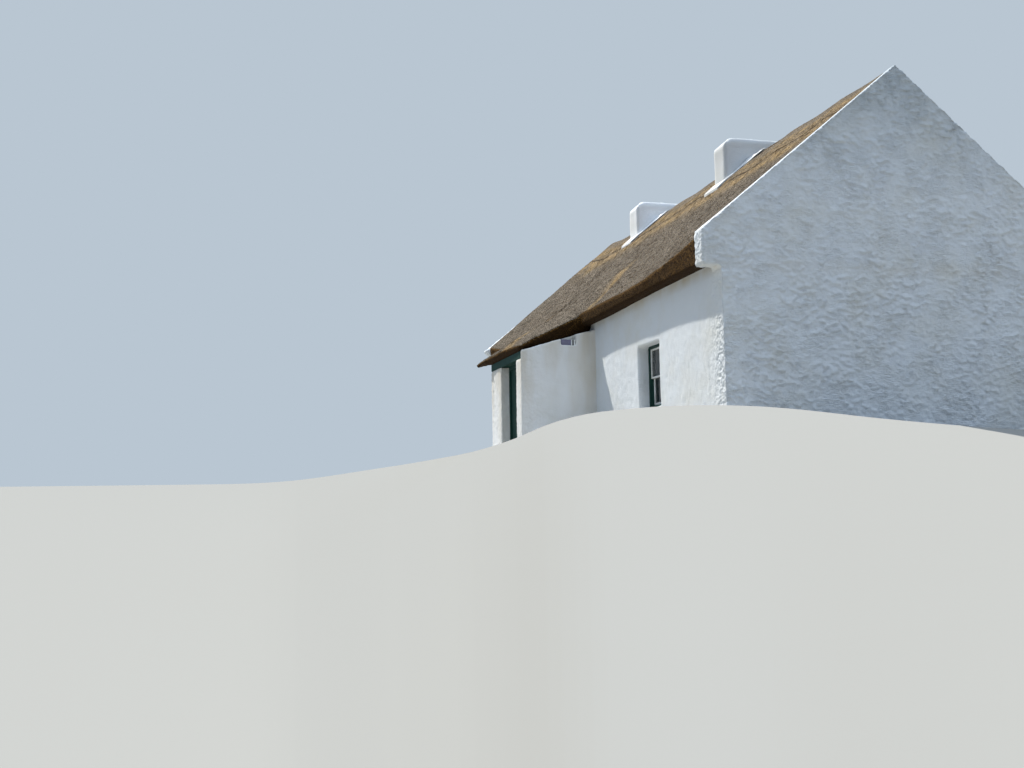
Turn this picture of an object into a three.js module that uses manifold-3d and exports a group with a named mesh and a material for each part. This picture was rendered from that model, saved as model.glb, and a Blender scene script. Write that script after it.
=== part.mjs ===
// Thatched cottage of whitewashed rubble masonry, in millimetres, +Z up.
// X runs along the ridge and the porch stands on the -Y side. The ground is at Z = 0.
// Each piece is drawn with the ridge over Y = 0, and the whole house is then moved along Y
// so that the origin is under the middle of its box.

import * as THREE from 'three';
import { mergeVertices } from 'three/addons/utils/BufferGeometryUtils.js';
import Module from 'manifold-3d';

const wasm = await Module();
wasm.setup();

// House body

const GAP = 0.3;
const HOUSE_LENGTH = 12950;
const HOUSE_WIDTH = 6000;
const WALL = 600;
const WALL_HEAD = 2500;
const FLOOR_TOP = 80;

// Roof, measured from the ridge (reach outwards) and from the ground (heights)

const RIDGE_TOP = 5640;
const RIDGE_UNDERSIDE = 5150;
const EAVE_REACH = 3250;
const EAVE_UNDERSIDE = 2506;
const EAVE_EDGE_MIDDLE = 2640;
const EAVE_EDGE_RISE = 230;
const EAVE_RISE_START = 3000;
const EAVE_LIP = { reach: 3200, underside: 2490 };
const PARAPET = 300;
const COPING_APEX = 5655;
const COPING_FALL = 0.819;
const KNEELER_REACH = 290;
const KNEELER_REACH_FAR_FRONT = 400;
const KNEELER_UNDERSIDE = 2440;
const COUPLE_PLACES = [-4600, -1900, 500, 3600];
const COUPLE_WIDTH = 80;
const RAFTER_DEPTH = 160;
const COLLAR_TIE_TOP = 4020;
const COLLAR_TIE_DEPTH = 120;

// Porch

const PORCH_NEAR_FACE = 966;
const PORCH_FAR_FACE = -1376;
const PORCH_FRONT = 4465;
const PORCH_WALL = 350;
const PORCH_HEAD_BACK = 2350;
const PORCH_HEAD_FRONT = 1899;
const PORCH_EAVE_FAR = { reach: 4620, edge: 1925 };
const PORCH_EAVE_NEAR = { reach: 4510, edge: 1980 };
const PORCH_VERGE_NEAR = { top: 1300, valley: 790, front: 990 };
const PORCH_VERGE_FAR = -2150;
const PORCH_VERGE_UNDERCUT = 140;
const PORCH_VERGE_EDGE_BACK = 2600;
const PORCH_CROWN = 230;
const PORCH_CROWN_END = 0.92;
const PORCH_ROOF_START = 2000;
const PORCH_FLARE = 500;
const PORCH_FLARE_LENGTH = 420;
const PORCH_SLOT = { from: 3380, to: 3680, height: 120, depth: 200 };
const DOORWAY_NEAR = 583;
const DOORWAY_FAR = -584;
const LINTEL_UNDERSIDE = 1760;
const LINTEL_COVER = 40;
const INNER_DOORWAY_HALF = 450;
const INNER_DOORWAY_HEAD = 1900;
const PORCH_FLOOR_TOP = 40;

// Porch door

const FRAME_SETBACK = 166;
const FRAME_DEPTH = 73;
const FRAME_JAMB = 60;
const LEAF = 45;
const LEAF_CLEARANCE = 5;
const STOP = 15;
const HINGE_RADIUS = 8.2;
const HINGE_OFFSET = 2;
const HINGE_STANDOFF = 8.5;
const HINGE_HEIGHT = 90;
const HINGE_PLACES = { lower: 350, upper: 1400 };
const HINGE_PLATE = 38;
const HINGE_PLATE_THICKNESS = 4;

// Sash windows: one near the gable, one mirrored past the porch, one at the back

const WINDOW_NEAR = 4083;
const WINDOW_FAR = 3158;
const WINDOW_SILL = 625;
const WINDOW_HEAD = 1702;
const WINDOW_SETBACK = 182;
const WINDOW_FRAME_DEPTH = 120;
const WINDOW_JAMB = 50;
const WINDOW_SILL_DEPTH = 60;
const SASH = 45;
const SASH_STILE = 45;
const SASH_BOTTOM_RAIL = 70;
const MEETING_RAIL = 40;
const GLASS = 4;

// Chimneys

const CHIMNEY_FRONT = -520;
const CHIMNEY_BACK = 940;
const CHIMNEY_WIDTH = 500;
const CHIMNEYS = { near: { from: 1160, top: 5905 }, far: { from: -3460, top: 5860 } };
const CAP_RISE = 165;
const CAP_INSET = { sides: 120, ends: 180 };
const POT_RADIUS = 75;
const POT_HEIGHT = 60;
const FILLET_OUT = 60;
const FILLET_DOWN = 200;
const FILLET_RISE = 60;

// Finishes

const finish = (color, roughness, metalness = 0) =>
  new THREE.MeshStandardMaterial({ color, roughness, metalness });
const limewash = () => finish(0xf1f0eb, 0.92);
const thatch = () => finish(0x8d806a, 0.97);
const greenPaint = () => finish(0x1c4a40, 0.5);
const whitePaint = () => finish(0xeceae2, 0.45);
const oldTimber = () => finish(0x6a4e35, 0.85);
const flagstone = () => finish(0x8b8880, 0.9);
const windowGlass = () => finish(0x9fb0b6, 0.08);
const blackIron = () => finish(0x2a2a2a, 0.6, 0.8);

// Solids and meshes

function toSolid(geometry) {
  geometry.deleteAttribute('normal');
  geometry.deleteAttribute('uv');
  const merged = mergeVertices(geometry, 1e-4);
  const vertProperties = new Float32Array(merged.attributes.position.array);
  const triVerts = new Uint32Array(merged.index.array);
  return new wasm.Manifold(new wasm.Mesh({ numProp: 3, vertProperties, triVerts }));
}

function toGeometry(solid) {
  const { vertProperties, triVerts } = solid.getMesh();
  const geometry = new THREE.BufferGeometry();
  geometry.setAttribute('position', new THREE.BufferAttribute(vertProperties, 3));
  geometry.setIndex(new THREE.BufferAttribute(triVerts, 1));
  return geometry;
}

const house = new THREE.Group();
house.position.y = (PORCH_EAVE_FAR.reach - HOUSE_WIDTH / 2 - KNEELER_REACH) / 2;

function addPiece(name, solid, material) {
  const mesh = new THREE.Mesh(toGeometry(solid), material);
  mesh.name = name;
  house.add(mesh);
}

const lerp = THREE.MathUtils.lerp;

function block(x0, x1, y0, y1, z0, z1) {
  const geometry = new THREE.BoxGeometry(x1 - x0, y1 - y0, z1 - z0);
  geometry.translate((x0 + x1) / 2, (y0 + y1) / 2, (z0 + z1) / 2);
  return toSolid(geometry);
}

// An outline of [y, z] points, run along X
function alongX(outline, x0, x1) {
  const shape = new THREE.Shape(outline.map(([y, z]) => new THREE.Vector2(y, z)));
  const geometry = new THREE.ExtrudeGeometry(shape, { depth: x1 - x0, bevelEnabled: false });
  const turn = new THREE.Matrix4().set(0, 0, 1, x0, 1, 0, 0, 0, 0, 1, 0, 0, 0, 0, 0, 1);
  return toSolid(geometry.applyMatrix4(turn));
}

// An outline of [x, y] points, raised along Z
function upwards(outline, z0, z1) {
  const shape = new THREE.Shape(outline.map(([x, y]) => new THREE.Vector2(x, y)));
  const geometry = new THREE.ExtrudeGeometry(shape, { depth: z1 - z0, bevelEnabled: false });
  return toSolid(geometry.translate(0, 0, z0));
}

// A slab bent to a form: place(s, r, t) gives the point for shares along X, along Y and up
function bentSlab(stepsX, stepsY, place) {
  const geometry = new THREE.BoxGeometry(1, 1, 1, stepsX, stepsY, 1);
  const position = geometry.attributes.position;
  for (let i = 0; i < position.count; i += 1) {
    const s = position.getX(i) + 0.5;
    const r = position.getY(i) + 0.5;
    const t = position.getZ(i) + 0.5;
    position.setXYZ(i, ...place(s, r, t));
  }
  return toSolid(geometry);
}

// Walls

const HALF_LENGTH = HOUSE_LENGTH / 2;
const HALF_WIDTH = HOUSE_WIDTH / 2;
const ROOM_END = HALF_LENGTH - WALL;
const ROOM_SIDE = HALF_WIDTH - WALL;
const WALL_BACK_FACE = HALF_WIDTH - WALL;
const THATCH_END = HALF_LENGTH - PARAPET - GAP;
const UNDERSIDE_FALL = (RIDGE_UNDERSIDE - EAVE_UNDERSIDE) / HALF_WIDTH;

function addGable(name, side, frontReach) {
  const wall = [
    [-HALF_WIDTH, 0],
    [HALF_WIDTH, 0],
    [HALF_WIDTH, EAVE_UNDERSIDE - GAP],
    [0, RIDGE_UNDERSIDE - GAP],
    [-HALF_WIDTH, EAVE_UNDERSIDE - GAP],
  ];
  const outer = side * HALF_LENGTH;
  const inner = side * ROOM_END;
  addPiece(`gable_wall_${name}`, alongX(wall, Math.min(outer, inner), Math.max(outer, inner)), limewash());

  const front = HALF_WIDTH + frontReach;
  const back = HALF_WIDTH + KNEELER_REACH;
  const coping = [
    [-front, KNEELER_UNDERSIDE],
    [-HALF_WIDTH - GAP, KNEELER_UNDERSIDE],
    [-HALF_WIDTH - GAP, EAVE_UNDERSIDE],
    [0, RIDGE_UNDERSIDE],
    [HALF_WIDTH + GAP, EAVE_UNDERSIDE],
    [HALF_WIDTH + GAP, KNEELER_UNDERSIDE],
    [back, KNEELER_UNDERSIDE],
    [back, COPING_APEX - COPING_FALL * back],
    [0, COPING_APEX],
    [-front, COPING_APEX - COPING_FALL * front],
  ];
  const inside = side * (HALF_LENGTH - PARAPET);
  addPiece(`gable_parapet_${name}`, alongX(coping, Math.min(outer, inside), Math.max(outer, inside)),
    limewash());
}

function windowHole(x0, x1, faceY, sideY) {
  const y0 = Math.min(faceY, sideY);
  const y1 = Math.max(faceY, sideY);
  return block(x0, x1, y0 - 10, y1 + 10, WINDOW_SILL, WINDOW_HEAD);
}

function addLongWalls() {
  const end = ROOM_END - GAP;
  const head = WALL_HEAD;
  const near = block(INNER_DOORWAY_HALF, end, -HALF_WIDTH, -ROOM_SIDE, 0, head)
    .subtract(windowHole(WINDOW_FAR, WINDOW_NEAR, -HALF_WIDTH, -ROOM_SIDE));
  const far = block(-end, -INNER_DOORWAY_HALF, -HALF_WIDTH, -ROOM_SIDE, 0, head)
    .subtract(windowHole(-WINDOW_NEAR, -WINDOW_FAR, -HALF_WIDTH, -ROOM_SIDE));
  const back = block(-end, end, WALL_BACK_FACE, HALF_WIDTH, 0, head)
    .subtract(windowHole(WINDOW_FAR, WINDOW_NEAR, ROOM_SIDE, HALF_WIDTH));
  const overDoor = block(-INNER_DOORWAY_HALF + GAP, INNER_DOORWAY_HALF - GAP,
    -HALF_WIDTH, -ROOM_SIDE, INNER_DOORWAY_HEAD, head);
  addPiece('front_wall_near', near, limewash());
  addPiece('front_wall_far', far, limewash());
  addPiece('front_wall_over_door', overDoor, limewash());
  addPiece('back_wall', back, limewash());
}

function addFloors() {
  const inset = GAP;
  const house_outline = [
    [-ROOM_END + inset, -ROOM_SIDE + inset],
    [-INNER_DOORWAY_HALF + inset, -ROOM_SIDE + inset],
    [-INNER_DOORWAY_HALF + inset, -HALF_WIDTH],
    [INNER_DOORWAY_HALF - inset, -HALF_WIDTH],
    [INNER_DOORWAY_HALF - inset, -ROOM_SIDE + inset],
    [ROOM_END - inset, -ROOM_SIDE + inset],
    [ROOM_END - inset, ROOM_SIDE - inset],
    [-ROOM_END + inset, ROOM_SIDE - inset],
  ];
  const back = -HALF_WIDTH - GAP;
  const pier = -PORCH_FRONT + PORCH_WALL;
  const porch_outline = [
    [PORCH_FAR_FACE + PORCH_WALL + inset, back],
    [PORCH_FAR_FACE + PORCH_WALL + inset, pier + inset],
    [DOORWAY_FAR + inset, pier + inset],
    [DOORWAY_FAR + inset, -PORCH_FRONT],
    [DOORWAY_NEAR - inset, -PORCH_FRONT],
    [DOORWAY_NEAR - inset, pier + inset],
    [PORCH_NEAR_FACE - PORCH_WALL - inset, pier + inset],
    [PORCH_NEAR_FACE - PORCH_WALL - inset, back],
  ];
  addPiece('house_floor', upwards(house_outline, 0, FLOOR_TOP), flagstone());
  addPiece('porch_floor', upwards(porch_outline, 0, PORCH_FLOOR_TOP), flagstone());
}

// Porch walls

const PORCH_HEAD_FALL = (PORCH_HEAD_BACK - PORCH_HEAD_FRONT) / (PORCH_FRONT - HALF_WIDTH);

function porchHead(reach) {
  return PORCH_HEAD_BACK - PORCH_HEAD_FALL * (reach - HALF_WIDTH);
}

function addPorch() {
  const pierBack = PORCH_FRONT - PORCH_WALL;
  const side = [
    [-pierBack + GAP, 0],
    [-HALF_WIDTH - GAP, 0],
    [-HALF_WIDTH - GAP, porchHead(HALF_WIDTH + GAP)],
    [-pierBack + GAP, porchHead(pierBack)],
  ];
  const slot = block(PORCH_NEAR_FACE - PORCH_SLOT.depth, PORCH_NEAR_FACE + 10, -PORCH_SLOT.to,
    -PORCH_SLOT.from, porchHead(PORCH_SLOT.to) - PORCH_SLOT.height, PORCH_HEAD_BACK + 10);
  const nearWall = alongX(side, PORCH_NEAR_FACE - PORCH_WALL, PORCH_NEAR_FACE).subtract(slot);
  const farWall = alongX(side, PORCH_FAR_FACE, PORCH_FAR_FACE + PORCH_WALL);
  addPiece('porch_wall_near', nearWall, limewash());
  addPiece('porch_wall_far', farWall, limewash());

  const pierHead = LINTEL_UNDERSIDE - GAP;
  const cheek = alongX([
    [-PORCH_FRONT, pierHead - PORCH_WALL],
    [-pierBack, pierHead - PORCH_WALL],
    [-pierBack, porchHead(pierBack)],
    [-PORCH_FRONT, porchHead(PORCH_FRONT)],
  ], PORCH_NEAR_FACE - LINTEL_COVER, PORCH_NEAR_FACE);
  addPiece('porch_pier_near',
    block(DOORWAY_NEAR, PORCH_NEAR_FACE, -PORCH_FRONT, -pierBack, 0, pierHead).add(cheek), limewash());
  addPiece('porch_pier_far',
    block(PORCH_FAR_FACE, DOORWAY_FAR, -PORCH_FRONT, -pierBack, 0, pierHead), limewash());

  const lintel = [
    [-PORCH_FRONT, LINTEL_UNDERSIDE],
    [-pierBack, LINTEL_UNDERSIDE],
    [-pierBack, porchHead(pierBack)],
    [-PORCH_FRONT, porchHead(PORCH_FRONT)],
  ];
  addPiece('porch_lintel',
    alongX(lintel, PORCH_FAR_FACE, PORCH_NEAR_FACE - LINTEL_COVER - GAP), greenPaint());
}

function addPorchDoor() {
  const front = -PORCH_FRONT + FRAME_SETBACK;
  const back = front + FRAME_DEPTH;
  const leafFront = back - LEAF;
  const left = DOORWAY_FAR + GAP;
  const right = DOORWAY_NEAR - GAP;
  const foot = PORCH_FLOOR_TOP + GAP;
  const head = LINTEL_UNDERSIDE - GAP;
  const jamb = FRAME_JAMB;
  const rebate = block(left + jamb, right - jamb, leafFront - LEAF_CLEARANCE, back + 10, 0, head - jamb);
  const way = block(left + jamb + STOP, right - jamb - STOP, front - 10, back + 10, 0,
    head - jamb - STOP);
  const frame = block(left, right, front, back, foot, head).subtract(rebate).subtract(way);
  addPiece('porch_door_frame', frame, greenPaint());

  const leafLeft = left + jamb + LEAF_CLEARANCE;
  const leafRight = right - jamb - LEAF_CLEARANCE;
  const leafHead = head - jamb - LEAF_CLEARANCE;
  const leafFoot = foot + LEAF_CLEARANCE;
  addPiece('porch_door', block(leafLeft, leafRight, leafFront, back, leafFoot, leafHead), greenPaint());

  const axisX = leafLeft - HINGE_OFFSET;
  const axisY = back + HINGE_STANDOFF;
  for (const [place, height] of Object.entries(HINGE_PLACES)) {
    const barrel = new THREE.CylinderGeometry(HINGE_RADIUS, HINGE_RADIUS, HINGE_HEIGHT, 24);
    barrel.rotateX(Math.PI / 2).translate(axisX, axisY, height);
    const plate = block(axisX - HINGE_PLATE, axisX - HINGE_OFFSET, back + GAP,
      back + GAP + HINGE_PLATE_THICKNESS, height - HINGE_HEIGHT / 2, height + HINGE_HEIGHT / 2);
    addPiece(`porch_door_hinge_${place}`, toSolid(barrel).add(plate), blackIron());
  }
}

// Windows

function ring(x0, x1, y0, y1, z0, z1, stile, bottom, top) {
  return block(x0, x1, y0, y1, z0, z1)
    .subtract(block(x0 + stile, x1 - stile, y0 - 10, y1 + 10, z0 + bottom, z1 - top));
}

function addWindow(name, x0, x1, side) {
  const place = (solid) => (side < 0 ? solid : solid.mirror([0, 1, 0]));
  const left = x0 + GAP;
  const right = x1 - GAP;
  const sill = WINDOW_SILL + GAP;
  const head = WINDOW_HEAD - GAP;
  const front = -HALF_WIDTH + WINDOW_SETBACK;
  const back = front + WINDOW_FRAME_DEPTH;
  const frame = ring(left, right, front, back, sill, head, WINDOW_JAMB, WINDOW_SILL_DEPTH, WINDOW_JAMB);
  addPiece(`${name}_frame`, place(frame), greenPaint());

  const lightLeft = left + WINDOW_JAMB + GAP;
  const lightRight = right - WINDOW_JAMB - GAP;
  const lightFoot = sill + WINDOW_SILL_DEPTH + GAP;
  const lightHead = head - WINDOW_JAMB - GAP;
  const middle = (lightFoot + lightHead) / 2;
  const upperFront = front + 20;
  const lowerFront = upperFront + SASH + GAP;
  const sashes = {
    upper: { y: upperFront, z0: middle - MEETING_RAIL / 2, z1: lightHead, bottom: MEETING_RAIL,
      top: SASH_STILE },
    lower: { y: lowerFront, z0: lightFoot, z1: middle + MEETING_RAIL / 2, bottom: SASH_BOTTOM_RAIL,
      top: MEETING_RAIL },
  };
  for (const [level, sash] of Object.entries(sashes)) {
    const body = ring(lightLeft, lightRight, sash.y, sash.y + SASH, sash.z0, sash.z1, SASH_STILE,
      sash.bottom, sash.top);
    const pane = block(lightLeft + SASH_STILE + GAP, lightRight - SASH_STILE - GAP,
      sash.y + (SASH - GLASS) / 2, sash.y + (SASH + GLASS) / 2,
      sash.z0 + sash.bottom + GAP, sash.z1 - sash.top - GAP);
    addPiece(`${name}_${level}_sash`, place(body), whitePaint());
    addPiece(`${name}_${level}_glass`, place(pane), windowGlass());
  }
}

// Thatch

function eaveEdge(x) {
  const past = Math.max(0, Math.abs(x) - EAVE_RISE_START) / (THATCH_END - EAVE_RISE_START);
  return EAVE_EDGE_MIDDLE + EAVE_EDGE_RISE * past * past;
}

// The underside follows the wall head and then runs out level to the lip, below a steep cut face
function mainCoat(side) {
  return bentSlab(16, 2, (s, r, t) => {
    const x = lerp(-THATCH_END, THATCH_END, s);
    const share = side < 0 ? 1 - r : r;
    if (t > 0.5) {
      return [x, side * Math.max(share * EAVE_REACH, GAP / 2), lerp(RIDGE_TOP, eaveEdge(x), share)];
    }
    const inner = Math.min(1, share * 2);
    const outer = Math.max(0, share * 2 - 1);
    const wallFace = HALF_WIDTH + GAP;
    const reach = inner * wallFace + outer * (EAVE_LIP.reach - wallFace);
    const slope = lerp(RIDGE_UNDERSIDE, EAVE_UNDERSIDE, inner);
    const droop = outer * (EAVE_UNDERSIDE - EAVE_LIP.underside);
    return [x, side * Math.max(reach, GAP / 2), slope - droop];
  });
}

// The near edge of the porch roof, which draws in to the valley under the main eave
function porchVergeNear(reach) {
  if (reach > EAVE_REACH) {
    const share = (reach - EAVE_REACH) / (PORCH_EAVE_NEAR.reach - EAVE_REACH);
    return lerp(PORCH_VERGE_NEAR.valley, PORCH_VERGE_NEAR.front, share);
  }
  const share = (reach - PORCH_ROOF_START) / (EAVE_REACH - PORCH_ROOF_START);
  return lerp(PORCH_VERGE_NEAR.top, PORCH_VERGE_NEAR.valley, share);
}

// The porch roof carries the front slope on at a slightly lower pitch, crowned along its middle
function porchCoat() {
  return bentSlab(12, 8, (s, r, t) => {
    const share = 1 - r;
    if (t < 0.5) {
      const reach = lerp(HALF_WIDTH + GAP, PORCH_FRONT + GAP, share);
      const x = lerp(PORCH_FAR_FACE, porchVergeNear(reach) - PORCH_VERGE_UNDERCUT, s);
      return [x, -reach, porchHead(reach) + GAP];
    }
    const frontReach = lerp(PORCH_EAVE_FAR.reach, PORCH_EAVE_NEAR.reach, s);
    const frontEdge = lerp(PORCH_EAVE_FAR.edge, PORCH_EAVE_NEAR.edge, s);
    const reach = lerp(PORCH_ROOF_START, frontReach, share);
    const past = Math.max(0, reach - EAVE_REACH);
    const flare = PORCH_FLARE * Math.max(0, 1 - past / PORCH_FLARE_LENGTH) ** 2;
    const x = lerp(PORCH_VERGE_FAR - flare, porchVergeNear(reach), s);
    const edge = past > 0
      ? lerp(PORCH_VERGE_EDGE_BACK, frontEdge, past / (frontReach - EAVE_REACH))
      : lerp(RIDGE_TOP, PORCH_VERGE_EDGE_BACK, reach / EAVE_REACH);
    const crownX = 1 - Math.abs(2 * s - 1) ** 4;
    const crownY = Math.sin(Math.PI * Math.min(1, share * PORCH_CROWN_END));
    return [x, -reach, edge + PORCH_CROWN * crownX * crownY];
  });
}

function chimneyShaft(chimney, clearance) {
  return block(chimney.from - clearance, chimney.from + CHIMNEY_WIDTH + clearance,
    CHIMNEY_FRONT - clearance, CHIMNEY_BACK + clearance, FLOOR_TOP + GAP, chimney.top);
}

function addThatch() {
  const attic = alongX([
    [-HALF_WIDTH - GAP, 0],
    [0, 0],
    [0, RIDGE_UNDERSIDE],
    [-HALF_WIDTH - GAP, EAVE_UNDERSIDE],
  ], -HALF_LENGTH, HALF_LENGTH);
  let front = mainCoat(-1).add(porchCoat().subtract(attic));
  let back = mainCoat(1);
  for (const chimney of Object.values(CHIMNEYS)) {
    front = front.subtract(chimneyShaft(chimney, GAP));
    back = back.subtract(chimneyShaft(chimney, GAP));
  }
  addPiece('thatch_front', front, thatch());
  addPiece('thatch_back', back, thatch());
  return front.add(back);
}

// Roof couples: two rafters and a collar tie, standing on the wall heads

function addCouples() {
  const topAt = (reach) => RIDGE_UNDERSIDE - UNDERSIDE_FALL * reach - GAP;
  const foot = WALL_HEAD + GAP;
  const footReach = HALF_WIDTH - 10;
  const footInner = (RIDGE_UNDERSIDE - RAFTER_DEPTH - foot) / UNDERSIDE_FALL;
  const tieReach = (RIDGE_UNDERSIDE - RAFTER_DEPTH / 2 - COLLAR_TIE_TOP) / UNDERSIDE_FALL;
  const rafters = [
    [-footReach, foot],
    [-footInner, foot],
    [0, RIDGE_UNDERSIDE - RAFTER_DEPTH],
    [footInner, foot],
    [footReach, foot],
    [footReach, topAt(footReach)],
    [0, topAt(0)],
    [-footReach, topAt(footReach)],
  ];
  COUPLE_PLACES.forEach((middle, index) => {
    const x0 = middle - COUPLE_WIDTH / 2;
    const x1 = middle + COUPLE_WIDTH / 2;
    const tie = block(x0, x1, -tieReach, tieReach, COLLAR_TIE_TOP - COLLAR_TIE_DEPTH, COLLAR_TIE_TOP);
    addPiece(`roof_couple_${index + 1}`, alongX(rafters, x0, x1).add(tie), oldTimber());
  });
}

// Chimneys, each one mass of masonry from the floor through the thatch, with a mortar fillet

function addChimneys(coat) {
  const roofFall = (RIDGE_TOP - EAVE_EDGE_MIDDLE) / EAVE_REACH;
  const eaves = RIDGE_TOP - roofFall * HALF_WIDTH;
  const roofBand = alongX([
    [-HALF_WIDTH, eaves - FILLET_RISE],
    [0, RIDGE_TOP - FILLET_RISE],
    [HALF_WIDTH, eaves - FILLET_RISE],
    [HALF_WIDTH, eaves + FILLET_RISE],
    [0, RIDGE_TOP + FILLET_RISE],
    [-HALF_WIDTH, eaves + FILLET_RISE],
  ], -HALF_LENGTH, HALF_LENGTH).subtract(coat.translate(0, 0, GAP));
  for (const [name, chimney] of Object.entries(CHIMNEYS)) {
    const x0 = chimney.from;
    const x1 = chimney.from + CHIMNEY_WIDTH;
    const cap = bentSlab(1, 1, (s, r, t) => [
      lerp(x0 + t * CAP_INSET.sides, x1 - t * CAP_INSET.sides, s),
      lerp(CHIMNEY_FRONT + t * CAP_INSET.ends, CHIMNEY_BACK - t * CAP_INSET.ends, r),
      chimney.top + t * CAP_RISE,
    ]);
    const pot = new THREE.CylinderGeometry(POT_RADIUS * 0.6, POT_RADIUS, POT_HEIGHT + 1, 24);
    pot.rotateX(Math.PI / 2);
    pot.translate((x0 + x1) / 2, (CHIMNEY_FRONT + CHIMNEY_BACK) / 2,
      chimney.top + CAP_RISE + POT_HEIGHT / 2 - 0.5);
    const stack = chimneyShaft(chimney, 0).add(cap).add(toSolid(pot));
    addPiece(`chimney_${name}`, stack, limewash());

    const around = block(x0 - FILLET_OUT, x1 + FILLET_OUT, CHIMNEY_FRONT - FILLET_DOWN,
      CHIMNEY_BACK + FILLET_DOWN, EAVE_UNDERSIDE, chimney.top);
    const fillet = roofBand.intersect(around).subtract(chimneyShaft(chimney, GAP));
    addPiece(`chimney_fillet_${name}`, fillet, limewash());
  }
}

addGable('near', 1, KNEELER_REACH);
addGable('far', -1, KNEELER_REACH_FAR_FRONT);
addLongWalls();
addFloors();
addPorch();
addPorchDoor();
addWindow('window_near', WINDOW_FAR, WINDOW_NEAR, -1);
addWindow('window_far', -WINDOW_NEAR, -WINDOW_FAR, -1);
addWindow('window_back', WINDOW_FAR, WINDOW_NEAR, 1);
const coat = addThatch();
addCouples();
addChimneys(coat);

export default house;
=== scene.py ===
"""Thatched cottage of limewashed rubble, dressed over its construction model."""
import math
import random
from functools import partial

import bmesh
import bpy
from bpy.props import FloatProperty, FloatVectorProperty, IntProperty, PointerProperty
from mathutils import Matrix, Vector, noise
from mathutils.bvhtree import BVHTree


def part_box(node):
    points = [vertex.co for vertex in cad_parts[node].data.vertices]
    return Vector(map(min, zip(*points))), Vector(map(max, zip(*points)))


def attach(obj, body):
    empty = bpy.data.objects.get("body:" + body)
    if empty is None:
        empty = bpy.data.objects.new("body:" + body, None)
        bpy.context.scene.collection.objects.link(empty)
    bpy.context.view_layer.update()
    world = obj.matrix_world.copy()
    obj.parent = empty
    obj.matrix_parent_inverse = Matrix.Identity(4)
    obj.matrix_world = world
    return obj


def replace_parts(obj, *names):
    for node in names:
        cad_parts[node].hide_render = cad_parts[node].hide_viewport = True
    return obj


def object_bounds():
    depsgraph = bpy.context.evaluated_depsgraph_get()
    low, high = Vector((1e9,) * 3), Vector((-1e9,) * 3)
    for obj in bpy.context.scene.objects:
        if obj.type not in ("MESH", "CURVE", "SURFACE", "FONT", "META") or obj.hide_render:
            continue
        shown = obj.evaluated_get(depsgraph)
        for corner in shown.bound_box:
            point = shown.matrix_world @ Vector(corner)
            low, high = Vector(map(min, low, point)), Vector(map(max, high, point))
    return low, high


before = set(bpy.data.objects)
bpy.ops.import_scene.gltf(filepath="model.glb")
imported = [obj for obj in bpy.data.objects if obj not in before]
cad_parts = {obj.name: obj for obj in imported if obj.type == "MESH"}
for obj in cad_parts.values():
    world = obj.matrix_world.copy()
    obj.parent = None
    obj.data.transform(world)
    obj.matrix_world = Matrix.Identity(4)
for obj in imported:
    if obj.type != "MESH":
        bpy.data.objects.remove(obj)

bl_info = {
    "name": "Thatched cottage",
    "version": (1, 0, 0),
    "blender": (4, 5, 0),
    "location": "View3D > Sidebar > Cottage",
    "description": "Limewashed rubble walls, straw thatch, sash windows and a boarded porch door",
    "category": "Add Mesh",
}

CAD_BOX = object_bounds()
BOX_MARGIN = 0.001
WELD_GAP = 0.00005


# Values shared by the pieces

def linear(hex_colour):
    """An sRGB hex colour as linear red, green and blue."""
    channels = [int(hex_colour[i:i + 2], 16) / 255 for i in (1, 3, 5)]
    return tuple(c / 12.92 if c <= 0.04045 else ((c + 0.055) / 1.055) ** 2.4 for c in channels)


def colour(name, description, hex_colour):
    return FloatVectorProperty(name=name, description=description, subtype="COLOR", size=3,
                               min=0.0, max=1.0, default=linear(hex_colour))


def length(name, description, metres, low=0.0, high=1.0):
    return FloatProperty(name=name, description=description, default=metres, min=low, max=high,
                         unit="LENGTH", precision=4)


class CottageSizes(bpy.types.PropertyGroup):
    wall_cell: length("Wall cell", "Mesh size of the walls before their faces are refined", 0.044, 0.01, 0.2)
    plain_cell: length("Plain wall cell", "Mesh size on the walls that show little", 0.070, 0.01, 0.2)
    porch_cell: length("Porch cell", "Mesh size on the porch walls", 0.030, 0.01, 0.2)
    lump_length: length("Lump length", "Usual length of a lump of lime on the gables", 0.115)
    lump_height: length("Lump height", "Usual height of a lump of lime on the gables", 0.050)
    lump_relief: length("Lump relief", "How far the lumps stand out", 0.028)
    crumb_relief: length("Crumb relief", "How far the small crumbs of lime stand out", 0.009)
    brush_relief: length("Brush relief", "How far brushed lime stands out on the long walls", 0.004)
    chip_relief: length("Chip relief", "How rough the arrises beside the gables are", 0.022)
    wall_wave: length("Wall wave", "How far the long waves of the wall stand in and out", 0.012)
    wall_tuck: length("Wall tuck", "How far a wall runs on into its neighbour and the thatch", 0.09)
    chimney_cell: length("Chimney cell", "Mesh size on the chimneys", 0.048, 0.01, 0.2)
    fillet_cell: length("Fillet cell", "Mesh size on the mortar fillets", 0.018, 0.005, 0.2)
    thatch_cell: length("Thatch cell", "Mesh size on the front slope", 0.044, 0.01, 0.2)
    thatch_back_cell: length("Back thatch cell", "Mesh size on the back slope", 0.062, 0.01, 0.2)
    thatch_swell: length("Thatch swell", "How far the loose straw stands out over the packed coat", 0.006)
    thatch_wave: length("Thatch wave", "How far the coat rises and sinks", 0.022)
    thatch_ripple: length("Thatch ripple", "How far the courses of straw stand out", 0.004)
    eave_droop: length("Eave droop", "How far the front eave sinks on the wall beside the porch", 0.07)
    straw_length: length("Straw length", "Usual length of a loose straw", 0.07)
    straw_radius: length("Straw radius", "Radius of a straw", 0.0025)
    straw_count: IntProperty(name="Straw count", description="Loose straws on the front slope",
                             default=14000, min=0, max=20000)
    straw_back_count: IntProperty(name="Back straw count", default=7000, min=0, max=20000,
                                  description="Loose straws on the back slope")


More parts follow.
